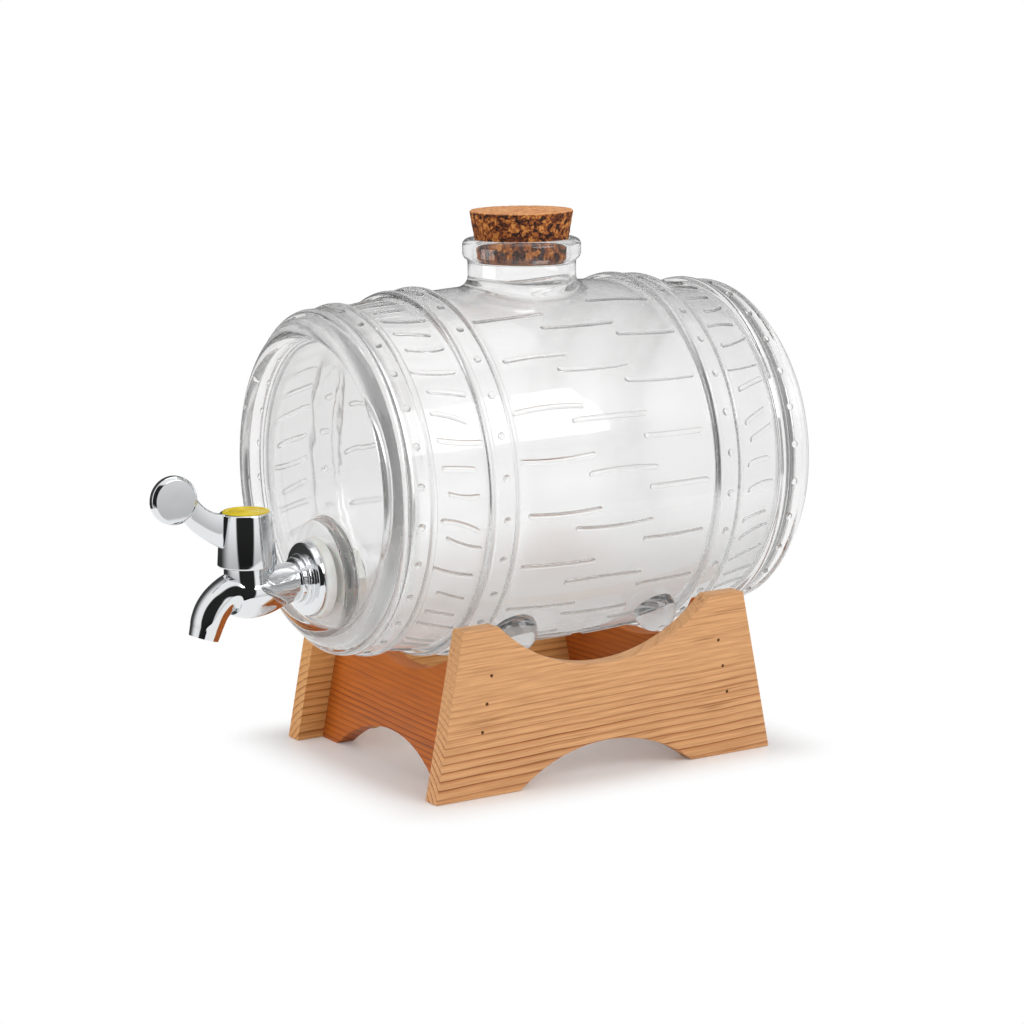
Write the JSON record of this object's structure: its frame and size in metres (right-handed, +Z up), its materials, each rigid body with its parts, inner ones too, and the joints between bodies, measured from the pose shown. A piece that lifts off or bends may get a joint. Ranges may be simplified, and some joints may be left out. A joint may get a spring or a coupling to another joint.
{
  "type": "glass barrel dispenser",
  "caption": "Clear moulded-glass barrel with hoops, neck and ball feet, lying on a wooden cradle stand, with a cork stopper and a chrome lever tap on one head.",
  "frame": {"origin": "on the table, under the middle of the stand", "axes": "+Z up; the barrel lies along Y and its tap faces -Y; +X is on the right of someone who faces +Y"},
  "size_m": [0.1766, 0.3159, 0.2635],
  "materials": {
    "wood": "oiled softwood, fine sanded",
    "steel": "bright drawn wire",
    "glass": "pressed clear soda-lime glass, fire polished",
    "cork": "agglomerated cork, ground",
    "silicone": "moulded white silicone",
    "white_plastic": "moulded",
    "chrome": "bright chrome plating",
    "valve_plastic": "turned acetal",
    "rubber": "moulded nitrile rubber",
    "yellow_plastic": "moulded"
  },
  "bodies": {
    "stand": {"side_panel_left": "wood", "side_panel_right": "wood", "front_cradle_board": "wood", "rear_cradle_board": "wood", "front_board_brads": "steel", "rear_board_brads": "steel"},
    "barrel": {"barrel_glass": "glass", "outer_washer": "silicone", "inner_washer": "silicone", "back_nut": "white_plastic", "tap_body": "chrome", "gland_nut": "valve_plastic"},
    "cork": {"cork_stopper": "cork"},
    "handle": {"valve_plug": "valve_plastic", "upper_sealing_ring": "rubber", "lower_sealing_ring": "rubber", "tap_handle": "chrome", "handle_screw": "steel", "index_disc": "yellow_plastic"}
  },
  "joints": [
    {"name": "barrel_lift", "type": "slide", "parent": "stand", "child": "barrel", "axis": [0, 0, 1], "range_m": [0, 0.12]},
    {"name": "cork_lift", "type": "slide", "parent": "barrel", "child": "cork", "axis": [0, 0, 1], "range_m": [0, 0.06]},
    {"name": "handle_turn", "type": "hinge", "parent": "barrel", "child": "handle", "pos_m": [0, -0.1509, 0.12], "axis": [0, 0, 1], "range_deg": [-90, 90]}
  ]
}
